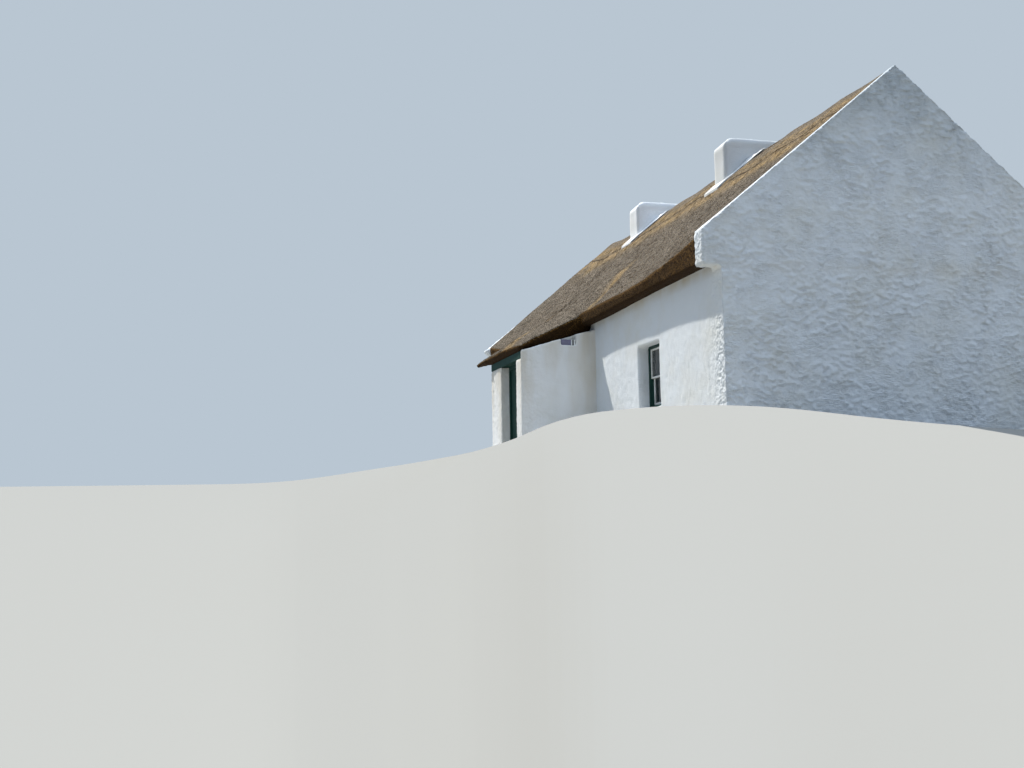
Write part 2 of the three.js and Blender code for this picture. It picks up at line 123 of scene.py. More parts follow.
class CottageColours(bpy.types.PropertyGroup):
    limewash: colour("Limewash", "Lime on the walls", "#E6EBEE")
    # On the porch this whiter lime is painted light: it stands for more light thrown back onto the porch
    # walls.
    limewash_whiter: colour("Whiter limewash", "Whiter lime on the far chimney, and painted light on the porch", "#F6F8F9")
    # Painted light: this lime is less blue than the walls' lime, to stand for warm light thrown onto the
    # stack from the thatch.
    limewash_stack: colour("Stack limewash", "Lime on the near chimney", "#DDDFDF")
    limewash_stain: colour("Limewash stain", "Rain stain on the lime", "#DAD8CC")
    limewash_rust: colour("Warm stain", "Brown stain under the eaves", "#CDBFA3")
    limewash_bloom: colour("Grey bloom", "Damp bloom high on the gables", "#A4AFB4")
    straw_grey: colour("Weathered straw", "Old straw on the slope", "#605649")
    straw_dark: colour("Dark straw", "Shade between the stalks", "#2A2219")
    straw_pale: colour("Pale straw", "Bleached stalks", "#9D907E")
    straw_gold: colour("Gold straw", "Newer straw along the ridge and in two patches", "#B99A68")
    straw_cut: colour("Cut straw", "Straw ends on the cut face of the eave", "#8A6633")
    # Painted shade: this dark straw colour is laid under the eave, along a groove below the ridge and
    # between the cut straw ends.
    straw_damp: colour("Painted straw shade", "Straw under the eave", "#2A1B0D")
    green: colour("Green paint", "Paint on the porch joinery", "#02352C")
    green_window: colour("Dark green paint", "Paint on the window frames", "#03302A")
    iron: colour("Black iron", "Paint on the hinges", "#1C1C1C")
    iron_rust: colour("Browned iron", "Worn paint on the hinges", "#3A2F28")
    white: colour("White paint", "Gloss paint on the sashes", "#E4E5E0")
    timber: colour("Old timber", "Roof couples", "#6A4E35")
    board: colour("Grey board", "Weathered boards in the vent of the porch", "#77758A")
    flag: colour("Flagstone", "Floors", "#8B8880")
    stage: colour("Stage", "Plain studio floor", "#9A9994")


# Making and finishing a piece

def sizes():
    return bpy.context.scene.cottage_sizes


def colours():
    return bpy.context.scene.cottage_colours


def ramp(value, start, reach):
    """The share of the way from start to start plus reach that a value has come, from 0 to 1."""
    return min(1.0, max(0.0, (value - start) / reach))


def joined_copy(nodes):
    """The merged meshes of some CAD nodes as one bmesh."""
    bm = bmesh.new()
    for name in nodes:
        bm.from_mesh(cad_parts[name].data)
    bmesh.ops.remove_doubles(bm, verts=bm.verts, dist=WELD_GAP)
    return bm


def mesh_of(name, bm):
    """The bmesh as a mesh of its own, which ends the bmesh."""
    mesh = bpy.data.meshes.new(name)
    bm.to_mesh(mesh)
    bm.free()
    return mesh


def linked(name, data):
    """A new object in the scene."""
    made = bpy.data.objects.new(name, data)
    bpy.context.scene.collection.objects.link(made)
    return made


def new_piece(name, bm, material, body="house"):
    piece = linked(name, mesh_of(name, bm))
    piece.data.materials.append(material)
    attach(piece, body)
    return piece


def skin(name, bm, cell, smoothing=0):
    """Wraps closed solids in one even skin that keeps to their faces, with softened arrises."""
    solid = BVHTree.FromBMesh(bm)
    mesh = mesh_of(name, bm)
    source = linked(name, mesh)
    wrap = source.modifiers.new("wrap", "REMESH")
    wrap.mode = "VOXEL"
    wrap.voxel_size = cell
    wrap.adaptivity = 0.0
    if smoothing:
        soften = source.modifiers.new("soften", "SMOOTH")
        soften.iterations = smoothing
        soften.factor = 0.5
    evaluated = source.evaluated_get(bpy.context.evaluated_depsgraph_get())
    wrapped = bmesh.new()
    wrapped.from_mesh(evaluated.to_mesh())
    evaluated.to_mesh_clear()
    bpy.data.objects.remove(source)
    bpy.data.meshes.remove(mesh)
    for vert in wrapped.verts:
        vert.co = solid.find_nearest(vert.co)[0]
    wrapped.normal_update()
    return wrapped


def inside_box(place):
    """The nearest point that keeps within the model's box."""
    low, high = CAD_BOX
    return Vector([min(max(c, low[i] + BOX_MARGIN), high[i] - BOX_MARGIN)
                   for i, c in enumerate(place)])


def raise_surface(bm, height_at, sag=0.0):
    """Moves each vertex along its normal by height_at(place, normal), kept in the model's box.

    Sag is the share of that height by which a lump also hangs down, so that its foot is sharp.
    """
    heights = [height_at(v.co, v.normal) for v in bm.verts]
    for vert, height in zip(bm.verts, heights):
        hang = Vector((0.0, 0.0, -sag * height * (1.0 - abs(vert.normal.z))))
        vert.co = inside_box(vert.co + vert.normal * height + hang)
    bm.normal_update()


def refine(bm, wanted):
    """Divides the faces that wanted(face) picks, once each way."""
    edges = dict.fromkeys(edge for face in bm.faces if wanted(face) for edge in face.edges)
    bmesh.ops.subdivide_edges(bm, edges=list(edges), cuts=1, use_grid_fill=True)
    bm.normal_update()


def shade_smooth(piece):
    """Shades a piece smooth and gives it back."""
    piece.data.polygons.foreach_set("use_smooth", [True] * len(piece.data.polygons))
    return piece


# Materials

def add_node(tree, kind, out, inputs=(), stops=(), **settings):
    """Adds one shader node with its settings and links, and gives back one of its outputs.

    Inputs are named in a dict, or listed in the node's own order. Each is a value or an output.
    """
    made = tree.nodes.new("ShaderNode" + kind)
    for setting, value in settings.items():
        setattr(made, setting, value)
    for key, value in inputs.items() if isinstance(inputs, dict) else enumerate(inputs):
        socket = made.inputs[key]
        if isinstance(value, bpy.types.NodeSocket):
            tree.links.new(value, socket)
        else:
            socket.default_value = (*value, 1.0) if socket.type == "RGBA" else value
    for index, (place, tint) in enumerate(stops):
        elements = made.color_ramp.elements
        stop = elements[index] if index < 2 else elements.new(place)
        stop.position = place
        stop.color = (*tint, 1.0)
    return made.outputs[out] if out else None


def blank_material(name):
    """A material without nodes, and add_node for its own tree."""
    material = bpy.data.materials.new(name)
    material.use_nodes = True
    material.node_tree.nodes.clear()
    return material, partial(add_node, material.node_tree)


def add_surface(add, **inputs):
    """Ends a material's tree with its surface shader, whose even values are on its own sockets."""
    named = {key.replace("_", " "): value for key, value in inputs.items()}
    surface = add("BsdfPrincipled", "BSDF", named)
    add("OutputMaterial", None, {"Surface": surface})


def limewash_material(name, base, grain, bloom, warmth):
    """Many coats of lime brushed over rubble: chalky, faintly stained, with brush and grit marks.

    Bloom is (from level, to level, share), warmth is (level, reach, share on end walls).
    """
    material, add = blank_material(name)
    place = add("TexCoord", "Object")
    level = add("SeparateXYZ", "Z", {"Vector": place})
    facing = add("NewGeometry", "Normal")
    across = add("SeparateXYZ", "X", {"Vector": facing})
    end_wall = add("Math", "Value", (across,), operation="ABSOLUTE")

    stain = add("TexNoise", "Fac", {"Vector": place, "Scale": 1.1, "Detail": 5.0, "Roughness": 0.62})
    stained = add("MapRange", "Result", (stain, 0.45, 0.75, 0.0, 0.55))

    run_scale = add("Mapping", "Vector", {"Vector": place, "Scale": (2.2, 2.2, 0.5)})
    run_noise = add("TexNoise", "Fac", {"Vector": run_scale, "Scale": 1.0, "Detail": 3.0})
    runs = add("MapRange", "Result", (run_noise, 0.40, 0.72, 0.25, 1.0))
    above = add("Math", "Value", (level, warmth[0]), operation="SUBTRACT")
    away = add("Math", "Value", (above,), operation="ABSOLUTE")
    under_eave = add("MapRange", "Result", (away, 0.0, warmth[1], 0.80, 0.04))
    long_wall = add("MapRange", "Result", (end_wall, 0.3, 0.7, 1.0, warmth[2]))
    strip = add("Math", "Value", (under_eave, long_wall), operation="MULTIPLY")
    warm = add("Math", "Value", (strip, runs), operation="MULTIPLY")

    patchy = add("TexNoise", "Fac", {"Vector": place, "Scale": 3.0, "Detail": 6.0})
    patches = add("MapRange", "Result", (patchy, 0.2, 0.7, 0.3, 1.0))
    high = add("MapRange", "Result", (level, *bloom[:2], 0.0, bloom[2]))
    bloomed = add("Math", "Value", (high, patches), operation="MULTIPLY")

    tint = colours()
    tone = base
    for share, layer in ((stained, tint.limewash_stain), (warm, tint.limewash_rust),
                         (bloomed, tint.limewash_bloom)):
        tone = add("Mix", "Result", {"Factor": share, "A": tone, "B": layer}, data_type="RGBA")

    trowelled = add("Mapping", "Vector", {"Vector": place, "Scale": (15.0, 15.0, 42.0)})
    lumps = add("TexNoise", "Fac", {"Vector": trowelled, "Scale": 1.0, "Detail": 5.0,
                                    "Roughness": 0.62, "Distortion": 0.6})
    rough = add("MapRange", "Result", (patchy, 0.42, 0.62, 0.30, 1.25))
    crumbly = add("Math", "Value", (lumps, rough), operation="MULTIPLY")
    leaning = add("Mapping", "Vector", {"Vector": place, "Rotation": (0.0, 0.6, 0.0),
                                        "Scale": (10.0, 10.0, 6.0)})
    strokes = add("TexNoise", "Fac", {"Vector": leaning, "Scale": 1.0, "Detail": 4.0, "Roughness": 0.5})
    faint = add("MapRange", "Result", (strokes, 0.0, 1.0, 0.36, 0.64))
    marks = add("Mix", "Result", {"Factor": end_wall, "A": faint, "B": crumbly}, data_type="FLOAT")
    grit = add("TexNoise", "Fac", {"Vector": place, "Scale": 110.0, "Detail": 2.0})
    both = add("Math", "Value", (grit, 0.2, marks), operation="MULTIPLY_ADD")
    bump = add("Bump", "Normal", {"Height": both, "Strength": grain, "Distance": 0.030})
    add_surface(add, Base_Color=tone, Roughness=0.93, IOR=1.45, Normal=bump)
    return material


def thatch_material(name):
    """Weathered straw: matt, speckled by stalks that run down the slope, gold where newer, with painted
    shade between the stalks, along a groove below the ridge and under the eave.
    """
    material, add = blank_material(name)
    tint = colours()
    place = add("TexCoord", "Object")
    slope = add("Mapping", "Vector", {"Vector": place, "Scale": (62.0, 38.0, 38.0)})
    stalks = add("TexNoise", "Fac", {"Vector": slope, "Scale": 1.0, "Detail": 6.0, "Roughness": 0.75})
    # The dark stop is painted shade between the stalks.
    tone = add("ValToRGB", "Color", {"Fac": stalks},
               stops=[(0.41, tint.straw_dark), (0.59, tint.straw_pale), (0.50, tint.straw_grey)])
    patchy = add("TexNoise", "Fac", {"Vector": place, "Scale": 1.7, "Detail": 4.0, "Roughness": 0.6})
    worn = add("MapRange", "Result", (patchy, 0.48, 0.72, 0.0, 0.4))

    newer = add("Attribute", "Fac", attribute_name=NEWER_STRAW)
    speckle = add("MapRange", "Result", (stalks, 0.40, 0.58, 0.15, 1.0))
    gold = add("Math", "Value", (newer, speckle), operation="MULTIPLY", use_clamp=True)

    # Painted shade: a dark line along the groove between the courses below the ridge.
    down_slope = add("SeparateXYZ", "Y", {"Vector": place})
    strayed = add("Math", "Value", (patchy, SEAM_WANDER, down_slope), operation="MULTIPLY_ADD")
    middle = RIDGE_LINE - SEAM_FROM_RIDGE + SEAM_WANDER / 2
    off = add("Math", "Value", (strayed, middle), operation="SUBTRACT")
    away = add("Math", "Value", (off,), operation="ABSOLUTE")
    groove_shade = add("MapRange", "Result", (away, 0.012, 0.034, 0.8, 0.0))

    facing = add("NewGeometry", "Normal")
    upward = add("SeparateXYZ", "Z", {"Vector": facing})
    cut = add("MapRange", "Result", (upward, 0.50, 0.25, 0.0, 1.0))
    # The cut straw ends keep their own colour, speckled with painted shade between them.
    ends = add("MapRange", "Result", (stalks, 0.45, 0.57))
    ends_tint = add("Mix", "Result", {"Factor": ends, "A": tint.straw_damp, "B": tint.straw_cut},
                    data_type="RGBA")
    # Painted shade: faces that turn downward, under the eave, are darkened towards the shade colour.
    under = add("MapRange", "Result", (upward, 0.10, -0.50, 0.0, 0.85))

    for share, layer in ((worn, tint.straw_dark), (gold, tint.straw_gold), (groove_shade, tint.straw_damp),
                         (cut, ends_tint), (under, tint.straw_damp)):
        tone = add("Mix", "Result", {"Factor": share, "A": tone, "B": layer}, data_type="RGBA")

    fine = add("TexNoise", "Fac", {"Vector": slope, "Scale": 2.2, "Detail": 3.0, "Roughness": 0.7})
    height = add("Math", "Value", (stalks, fine), operation="ADD")
    bump = add("Bump", "Normal", {"Height": height, "Strength": 1.0, "Distance": 0.013})
    add_surface(add, Base_Color=tone, Roughness=0.95, IOR=1.4, Specular_IOR_Level=0.2, Normal=bump)
    return material


def paint_material(name, base, roughness):
    """Brushed paint on joinery: a little uneven, a little duller where it has weathered."""
    material, add = blank_material(name)
    place = add("TexCoord", "Object")
    patches = add("TexNoise", "Fac", {"Vector": place, "Scale": 9.0, "Detail": 5.0})
    worn = tuple(min(1.0, c * 1.35 + 0.004) for c in base)
    tone = add("ValToRGB", "Color", {"Fac": patches}, stops=[(0.35, base), (0.75, worn)])
    grain = add("Mapping", "Vector", {"Vector": place, "Scale": (90.0, 90.0, 12.0)})
    strokes = add("TexNoise", "Fac", {"Vector": grain, "Scale": 1.0, "Detail": 2.0})
    bump = add("Bump", "Normal", {"Height": strokes, "Strength": 0.25, "Distance": 0.002})
    add_surface(add, Base_Color=tone, Roughness=roughness, IOR=1.5, Specular_IOR_Level=0.3,
                Normal=bump)
    return material


def glass_material():
    """Old drawn window glass: clear, with a faint wave that bends its reflections."""
    material, add = blank_material("old drawn glass")
    place = add("TexCoord", "Object")
    wave = add("TexNoise", "Fac", {"Vector": place, "Scale": 7.0, "Detail": 1.0})
    bump = add("Bump", "Normal", {"Height": wave, "Strength": 0.15, "Distance": 0.004})
    add_surface(add, Roughness=0.02, IOR=1.5, Transmission_Weight=1.0, Normal=bump)
    return material


def timber_material():
    """Sawn softwood browned by smoke: long grain, dark and dry."""
    material, add = blank_material("smoked softwood")
    timber = colours().timber
    place = add("TexCoord", "Object")
    along = add("Mapping", "Vector", {"Vector": place, "Scale": (60.0, 5.0, 5.0)})
    grain = add("TexNoise", "Fac", {"Vector": along, "Scale": 1.0, "Detail": 5.0})
    tone = add("ValToRGB", "Color", {"Fac": grain},
               stops=[(0.3, tuple(c * 0.45 for c in timber)), (0.7, timber)])
    add_surface(add, Base_Color=tone, Roughness=0.85, IOR=1.45)
    return material


def flagstone_material():
    """Worn flags laid in rows: cool grey, each a little different, dark at the joints."""
    material, add = blank_material("worn flagstone")
    flag = colours().flag
    place = add("TexCoord", "Object")
    flags = add("TexBrick", "Color", {"Vector": place, "Scale": 1.0, "Mortar Size": 0.008,
                                      "Brick Width": 0.75, "Row Height": 0.55,
                                      "Color1": flag, "Color2": [c * 0.75 for c in flag],
                                      "Mortar": [c * 0.3 for c in flag]})
    add_surface(add, Base_Color=flags, Roughness=0.8, IOR=1.5)
    return material


def iron_material():
    """Wrought iron under black paint: dark, dull and slightly rough."""
    material, add = blank_material("black painted iron")
    place = add("TexCoord", "Object")
    patches = add("TexNoise", "Fac", {"Vector": place, "Scale": 60.0, "Detail": 4.0})
    tone = add("ValToRGB", "Color", {"Fac": patches},
               stops=[(0.4, colours().iron), (0.8, colours().iron_rust)])
    add_surface(add, Base_Color=tone, Roughness=0.55, Metallic=0.4)
    return material


def finish_node(name, material, bevel=0.0):
    """Gives a CAD node its finish, and takes the sharpness off its arrises."""
    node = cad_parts[name]
    if node.material_slots:
        for slot in node.material_slots:
            slot.material = material
    else:
        node.data.materials.append(material)
    if bevel:
        weld = node.modifiers.new("weld", "WELD")
        weld.merge_threshold = WELD_GAP
        round_off = node.modifiers.new("arris", "BEVEL")
        round_off.width = bevel
        round_off.segments = 2
        round_off.limit_method = "ANGLE"


# Walls

FRONT_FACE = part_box("front_wall_near")[0][1]
GABLE_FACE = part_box("gable_wall_near")[1][0]
RIDGE_LINE = (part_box("gable_wall_near")[0][1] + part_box("gable_wall_near")[1][1]) / 2
HALF_WIDTH = RIDGE_LINE - FRONT_FACE
EAVE_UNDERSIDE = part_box("thatch_back")[0][2]
WAVE_LENGTH = 1.3
LIME_SEED = 1
LUMPY_FROM = 6.1
LUMP_BEND = 0.05
LUMP_BEND_LENGTH = 0.33
LUMP_LEVEL = 0.02
LUMP_SAG = 0.6
SMALLER_LUMPS = 1.9
CRUMBS = 2.6
ROUGH_PATCH = 0.45
GABLE_INSET = 0.015
BRUSH_LENGTH = 0.11
BRUSH_LEAN = 0.4
BRUSH_BEND_LENGTH = 0.25
FLAKES = ((0.55, 0.032), (0.45, 0.075))
CHIPPED_REACH = 0.34
CHIPPED_HALF = 0.33
KNEELER_FROM = 2.4
PIER_FROM = -3.4
PIER_CHIPS = 0.35
COPING_FROM = 2.6
COPING_FULL = 0.4
COPING_CALM = 0.85
COPING_SHOWN = 0.15
COPING_EDGE = 0.08
COPING_SINK = -0.045
FAR_COPING_SINK = -0.03
SINK_FROM = 2.95
SINK_FULL = 0.5
KNEELER_NOSE = 0.06
TUCKED_PAST = 0.005
GABLE_BLOOM = (3.6, 5.6, 0.75)
NO_BLOOM = (3.6, 5.6, 0.0)
WALL_WARMTH = (2.47, 0.16, 0.30)
PORCH_WARMTH = (2.1, 2.4, 1.0)


def lumpy(place):
    """Lumps and crumbs of lime thrown on the gables, rougher in some patches than in others."""
    size = sizes()
    bent = place + noise.noise_vector(place / LUMP_BEND_LENGTH) * LUMP_BEND
    patch = 0.5 + 0.5 * noise.noise(place / ROUGH_PATCH)
    lump = Vector((bent.x / size.lump_length, bent.y / size.lump_length, bent.z / size.lump_height))
    swell = noise.noise(lump) + 0.5 * noise.noise(lump * SMALLER_LUMPS)
    rough = max(0.0, swell - LUMP_LEVEL) * size.lump_relief * (0.35 + 2.6 * patch * patch)
    return rough + noise.noise(lump * CRUMBS) * size.crumb_relief * (0.3 + 1.4 * patch)


def brushed(place):
    """Lime brushed on in short leaning strokes."""
    stroke = Vector((place.x + BRUSH_LEAN * place.z, place.y, place.z * 0.7)) / BRUSH_LENGTH
    return noise.noise(stroke + noise.noise_vector(place / BRUSH_BEND_LENGTH)) * sizes().brush_relief


def chipped(place):
    """Broken flakes on the arrises beside the gables, on the kneelers and on the porch piers."""
    past_wall = abs(place.y - RIDGE_LINE) - HALF_WIDTH
    if place.y < PIER_FROM:
        share = PIER_CHIPS
    elif past_wall > 0.05 and place.z > KNEELER_FROM:
        share = 1.0
    else:
        beside = (GABLE_FACE - abs(place.x)) / CHIPPED_REACH
        share = math.exp(-beside * beside - (past_wall / CHIPPED_HALF) ** 2)
    return sum(part * noise.noise(place / span) for part, span in FLAKES) * sizes().chip_relief * share


def lime_height(place, normal):
    """How far the lime stands out from the wall's even face, or lies behind it."""
    wave = noise.noise(place / WAVE_LENGTH) * sizes().wall_wave
    on_top = max(0.0, normal.z) * ramp(place.z, COPING_FROM, COPING_FULL)
    on_gable = ramp(abs(normal.x), 0.35, 0.3) if abs(place.x) > LUMPY_FROM else 0.0
    calm = 1.0 - 0.4 * on_gable
    thrown = (lumpy(place) - GABLE_INSET) * on_gable if on_gable else 0.0
    height = thrown + brushed(place) * (1.0 - on_gable) + chipped(place) * calm
    settled = FAR_COPING_SINK
    if place.x > -LUMPY_FROM:
        settled = COPING_SINK * ramp(GABLE_FACE - place.x, COPING_SHOWN, COPING_EDGE) \
            * ramp(place.z, SINK_FROM, SINK_FULL)
    return wave * (1.0 - on_top) * calm + height * (1.0 - COPING_CALM * on_top) + settled * on_top


def tuck(bm, low, high):
    """Runs the ends of a wall on into its neighbours, so that no joint shows between them."""
    reach = sizes().wall_tuck
    for vert in bm.verts:
        for axis in range(3):
            if low and low[axis] is not None and vert.co[axis] < low[axis] + TUCKED_PAST:
                vert.co[axis] -= reach
            if high and high[axis] is not None and vert.co[axis] > high[axis] - TUCKED_PAST:
                vert.co[axis] += reach


def undercut_kneeler(bm):
    """Worn back below its nose, so that the thatch in front of the far kneeler hides its foot."""
    front = min(vert.co.y for vert in bm.verts)
    nose = [vert for vert in bm.verts if vert.co.y < front + 0.01]
    crest = max(vert.co.z for vert in nose)
    for vert in nose:
        vert.co.z = max(vert.co.z, crest - KNEELER_NOSE)


class COTTAGE_OT_walls(bpy.types.Operator):
    """Limewashed rubble over the gables, the long walls and the porch"""
    bl_idname = "cottage.walls"
    bl_label = "Walls"

    def execute(self, context):
        noise.seed_set(LIME_SEED)
        size = sizes()
        lime = limewash_material("limewash over rubble", colours().limewash, 0.85, GABLE_BLOOM,
                                 WALL_WARMTH)
        # On the porch walls the whiter lime is painted light, for light thrown back onto them.
        plain = limewash_material("limewash over plaster", colours().limewash_whiter, 0.25, NO_BLOOM,
                                  PORCH_WARMTH)
        room_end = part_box("gable_wall_near")[0][0]
        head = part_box("back_wall")[1][2]
        over_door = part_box("front_wall_over_door")

        def outside_x(face):
            return face.normal.x > 0.6 and face.calc_center_median().x > room_end + 0.2

        def outside_y(face):
            return face.normal.y < -0.6 and face.calc_center_median().y < FRONT_FACE + 0.1

        def outside(face):
            return outside_x(face) or outside_y(face)

        def on_pier(face):
            return face.calc_center_median().y < PIER_FROM

        groups = {
            "gable_near": (["gable_wall_near", "gable_parapet_near"], size.wall_cell,
                           (outside, outside_y), None, None),
            "gable_far": (["gable_wall_far", "gable_parapet_far"], size.plain_cell, (), None, None),
            "front_near": (["front_wall_near"], size.wall_cell, (outside_y,),
                           None, (room_end, None, head)),
            "front_far": (["front_wall_far"], size.plain_cell, (),
                          (-room_end, None, None), (None, None, head)),
            "front_over_door": (["front_wall_over_door"], size.plain_cell, (),
                                (over_door[0][0], None, None), (over_door[1][0], None, head)),
            "back": (["back_wall"], size.plain_cell, (),
                     (-room_end, None, None), (room_end, None, head)),
            "porch_near": (["porch_wall_near", "porch_pier_near"], size.porch_cell, (on_pier,),
                           None, (None, FRONT_FACE, None)),
            "porch_far": (["porch_wall_far", "porch_pier_far"], size.porch_cell, (on_pier,),
                          None, (None, FRONT_FACE, None)),
        }
        for name, (nodes, cell, refined, low, high) in groups.items():
            solid = joined_copy(nodes)
            tuck(solid, low, high)
            if name == "gable_far":
                undercut_kneeler(solid)
            wall = skin(name, solid, cell)
            for wanted in refined:
                refine(wall, wanted)
            raise_surface(wall, lime_height, LUMP_SAG)
            finish = plain if name.startswith("porch") else lime
            piece = shade_smooth(new_piece("limewashed_" + name, wall, finish))
            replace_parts(piece, *nodes)
        return {"FINISHED"}


# Chimneys

CAP_RISE = 0.165
POT_RISE = 0.060
CAP_FULLNESS = 0.070
# The top of each chimney cap is greyed over this depth.
CAP_GREY_DEPTH = 0.06
SHAFT_WAVE = 0.006
FILLET_FLARE = 0.60
FILLET_FLARE_REACH = 0.52
FILLET_ROUGHNESS = 0.004
FILLET_THICK_FROM = 1.2
FILLET_THICK_REACH = 0.25
FILLET_SINK = (0.027, 0.032)


def fillet_flare(y):
    """How far the mortar runs on along the ridge, beside the stack."""
    return FILLET_FLARE * max(0.0, 1.0 - abs(y - RIDGE_LINE) / FILLET_FLARE_REACH)


class COTTAGE_OT_chimneys(bpy.types.Operator):
    """Smooth rendered chimneys with their mortar fillets"""
    bl_idname = "cottage.chimneys"
    bl_label = "Chimneys"

    def execute(self, context):
        for end, base in (("near", colours().limewash_stack), ("far", colours().limewash_whiter)):
            node = "chimney_" + end
            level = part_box(node)[1][2] - POT_RISE
            lime = limewash_material("limewash over smooth render, " + end, base, 0.2,
                                     (level - CAP_GREY_DEPTH, level - 0.01, 1.0), (0.0, 0.1, 0.0))
            self.stack(node, level - CAP_RISE, lime)
            self.fillet(end, lime)
        return {"FINISHED"}

    def stack(self, node, shoulder, lime):
        """A hand-rendered shaft whose cap is fuller on the side that shows."""
        def swell(place, normal):
            share = ramp(place.z, shoulder, CAP_RISE)
            full = CAP_FULLNESS * 4.0 * share * (1.0 - share) * max(0.0, normal.x)
            return SHAFT_WAVE * noise.noise(place / 0.25) + full

        shell = skin(node, joined_copy([node]), sizes().chimney_cell)
        raise_surface(shell, swell)
        piece = shade_smooth(new_piece("rendered_" + node, shell, lime))
        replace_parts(piece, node)

    def fillet(self, end, lime):
        """Mortar flaunching, thick against the stack and feathered out onto the straw."""
        node = "chimney_fillet_" + end
        outer_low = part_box(node)[0]
        low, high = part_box("chimney_" + end)
        out_x = low[0] - outer_low[0]
        out_y = low[1] - outer_low[1]

        def feather(place, normal):
            past_x = max(low[0] - place.x, place.x - high[0], 0.0) / out_x
            past_y = max(low[1] - place.y, place.y - high[1], 0.0) / out_y
            share = min(1.0, max(past_x, past_y))
            from_foot = min(place.y - low[1], FILLET_THICK_FROM - place.y)
            sink = FILLET_SINK[0] + FILLET_SINK[1] * share
            sink *= max(0.0, normal.z) * ramp(from_foot, 0.0, FILLET_THICK_REACH)
            return FILLET_ROUGHNESS * noise.noise(place / 0.06) - sink

        shell = skin(node, joined_copy([node]), sizes().fillet_cell, 2)
        raise_surface(shell, feather)
        for vert in shell.verts:
            vert.co.x += fillet_flare(vert.co.y) * max(0.0, (vert.co.x - high[0]) / out_x)
        piece = shade_smooth(new_piece("rendered_" + node, shell, lime))
        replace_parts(piece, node)


# Thatch

NEWER_STRAW = "newer_straw"
# Courses beside the ridge: their middle and half width, measured from it, and how gold they are.
RIDGE_COURSES = ((0.42, 0.16, 0.8), (0.87, 0.20, 0.8), (0.66, 0.42, 0.6))
SEAM_FROM_RIDGE = 0.66
SEAM_WANDER = 0.12
# Patched courses: the points of their middle line in plan.
PATCHED_COURSES = (((0.68, -1.58), (1.08, -2.03), (1.44, -2.72)),
                   ((-1.5, -2.6), (-0.62, -3.43), (0.25, -3.93)))
PATCHED_HALF = 0.17
NEWER_WANDER = 0.07
NEWER_WANDER_LENGTH = 0.45
# Places where the coat is heaped up or sunk: the middle in plan, both half widths and the rise.
HEAPS = ((2.45, 0.665, 0.8, 0.9, -0.018), (0.65, 0.665, 0.7, 0.9, 0.035),
         (-6.0, 0.665, 0.5, 9.0, 0.072), (-2.5, -3.6, 0.6, 0.9, 0.06))
HEAP_LENGTH = 0.85
COURSE_WIDTH = 0.09
COURSE_LENGTH = 0.5
TUFT_LENGTH = 0.07
FILLET_BOXES = [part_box("chimney_fillet_near"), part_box("chimney_fillet_far")]
BEDDING_EDGE = 0.06
BEDDING_DEPTH = 0.035
DROOP_FROM = 5.0
DROOP_TO = 1.0
LIP_FROM = 4.0
LIP_TO = 6.0
LIP_REACH = 0.03
LIP_RISE = 0.5


def bedded(place):
    """How far a place lies inside the footprint of a mortar fillet, from 0 to 1."""
    most = 0.0
    for low, high in FILLET_BOXES:
        inside = min(place.x - low[0], high[0] + fillet_flare(place.y) - place.x,
                     place.y - low[1], high[1] - place.y)
        most = max(most, ramp(inside, 0.0, BEDDING_EDGE))
    return most


def thatch_height(place, normal):
    """How the straw coat swells and sinks about its even form."""
    size = sizes()
    wave = noise.noise(place / HEAP_LENGTH) * size.thatch_wave
    course = Vector((place.x / COURSE_WIDTH, place.y / COURSE_LENGTH, place.z / COURSE_LENGTH))
    ripple = noise.noise(course) * size.thatch_ripple * 0.6
    tuft = noise.noise(place / TUFT_LENGTH) * size.thatch_ripple * 0.6
    under = 0.5 - 0.5 * max(-1.0, min(1.0, normal.z * 2.5))
    for x, y, half_x, half_y, rise in HEAPS:
        away = ((place.x - x) / half_x) ** 2 + ((place.y - y) / half_y) ** 2
        wave += rise * math.exp(-away)
    packed = BEDDING_DEPTH * bedded(place) * (1.0 - under)
    return (wave + ripple) * (1.0 - 0.7 * under) + tuft + size.thatch_swell * (1.0 - under) - packed


def droop_eave(bm):
    """Lets the underside of the front eave sink towards the porch and reach out by the gables."""
    for vert in bm.verts:
        along = abs(vert.co.x)
        if vert.co.z < EAVE_UNDERSIDE + LIP_RISE and vert.co.y < FRONT_FACE - 0.1:
            vert.co.y -= LIP_REACH * ramp(along, LIP_FROM, LIP_TO - LIP_FROM)
        if abs(vert.co.z - EAVE_UNDERSIDE) < 0.03 and vert.co.y < FRONT_FACE + 0.01:
            vert.co.z -= sizes().eave_droop * ramp(DROOP_FROM - along, 0.0, DROOP_FROM - DROOP_TO)


def way_to_line(place, points):
    """The distance in plan from a place to a line of points."""
    ways = []
    for (x0, y0), (x1, y1) in zip(points, points[1:]):
        start = Vector((x0, y0))
        along = Vector((x1, y1)) - start
        flat = Vector((place.x, place.y)) - start
        share = ramp(flat.dot(along), 0.0, along.length_squared)
        ways.append((flat - along * share).length)
    return min(ways)


def newer_straw(place):
    """How much of the straw here is new and gold: along the ridge and in the patched courses."""
    wander = noise.noise(place / NEWER_WANDER_LENGTH) * NEWER_WANDER
    from_ridge = abs(place.y - RIDGE_LINE) + wander
    uneven = 0.75 + 0.9 * noise.noise(place / 0.15)
    amounts = [strength * math.exp(-((from_ridge - middle) / half) ** 2)
               for middle, half, strength in RIDGE_COURSES]
    for points in PATCHED_COURSES:
        away = way_to_line(place, points) + wander * 0.5
        amounts.append(math.exp(-(away / PATCHED_HALF) ** 2))
    return min(1.0, max(amounts) * uneven)


def mark_newer_straw(piece):
    marks = piece.data.attributes.new(NEWER_STRAW, "FLOAT", "POINT")
    marks.data.foreach_set("value", [newer_straw(vert.co) for vert in piece.data.vertices])


STALKS_A_BATCH = 400
BARE_RIDGE = 0.3
STEEP = 0.45
STALK_STRAY = 0.22
FRINGE_STRAY = 0.40


